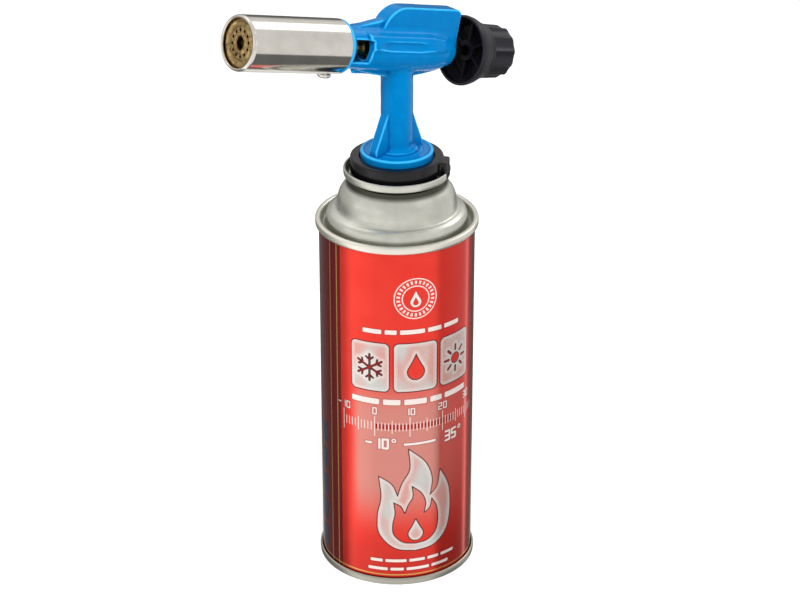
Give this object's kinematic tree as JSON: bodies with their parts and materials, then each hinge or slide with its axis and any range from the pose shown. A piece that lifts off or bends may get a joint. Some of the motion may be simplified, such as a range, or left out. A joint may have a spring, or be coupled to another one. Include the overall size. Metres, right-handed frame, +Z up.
{
  "type": "propane torch",
  "caption": "Hand torch with cast body, fluted valve knob and short flame tube, locked on a nozzle-type gas cartridge.",
  "frame": {"origin": "on the standing plane, under the middle of the overall length from the flame tube's mouth to the knob's end", "axes": "+Z up along the can, -X toward the flame end, +Y completes a right-handed frame across the torch"},
  "size_m": [0.1386, 0.0684, 0.2654],
  "materials": {
    "red_lacquer": "glossy lacquer over tinplate",
    "tinplate": "satin pressed tinplate",
    "blue_paint": "glossy enamel over a die casting",
    "black_plastic": "moulded, satin",
    "chrome": "polished",
    "brass": "machined",
    "rubber": "matt",
    "nylon": "moulded",
    "steel": "zinc plated",
    "sinter": "porous sintered bronze"
  },
  "bodies": {
    "cartridge": {"can_body": "red_lacquer", "can_base": "tinplate", "can_top": "tinplate", "mounting_cup": "tinplate", "cup_gasket": "rubber", "cartridge_valve_housing": "nylon", "cartridge_valve_gasket": "rubber", "cartridge_valve_spring": "steel", "vapour_tube": "nylon"},
    "stem": {"cartridge_valve_stem": "nylon"},
    "torch": {"torch_body": "blue_paint", "lock_ring": "black_plastic", "ring_screw_1": "steel", "ring_screw_2": "steel", "inlet_nipple": "brass", "nipple_seal": "rubber", "gas_tube": "brass", "valve_block": "brass", "gas_jet": "brass", "jet_filter": "sinter", "gland_nut": "brass", "mixing_tube": "brass", "burner_head": "brass", "burner_tube": "chrome", "tube_screw": "chrome"},
    "spindle_seal": {"spindle_o_ring": "rubber"},
    "knob": {"control_knob": "black_plastic", "knob_screw": "steel", "valve_spindle": "brass"}
  },
  "joints": [
    {"name": "torch_lift", "type": "slide", "parent": "cartridge", "child": "torch", "axis": [0, 0, 1], "range_m": [0, 0.03]},
    {"name": "valve_stem_travel", "type": "slide", "parent": "cartridge", "child": "stem", "axis": [0, 0, -1], "range_m": [0, 0.0016], "stiffness_N_per_m": 1200, "deforming": ["cartridge_valve_spring"]},
    {"name": "spindle_travel", "type": "slide", "parent": "torch", "child": "spindle_seal", "axis": [0.9686, 0, -0.2487], "range_m": [0, 0.00105]},
    {"name": "knob_turn", "type": "hinge", "parent": "spindle_seal", "child": "knob", "pos_m": [0.01221, 0, 0.23469], "axis": [0.9686, 0, -0.2487], "range_deg": [0, 540]}
  ],
  "couplings": [
    {"joint": "knob_turn", "follows": "spindle_travel", "rad_per_m": 8976}
  ]
}
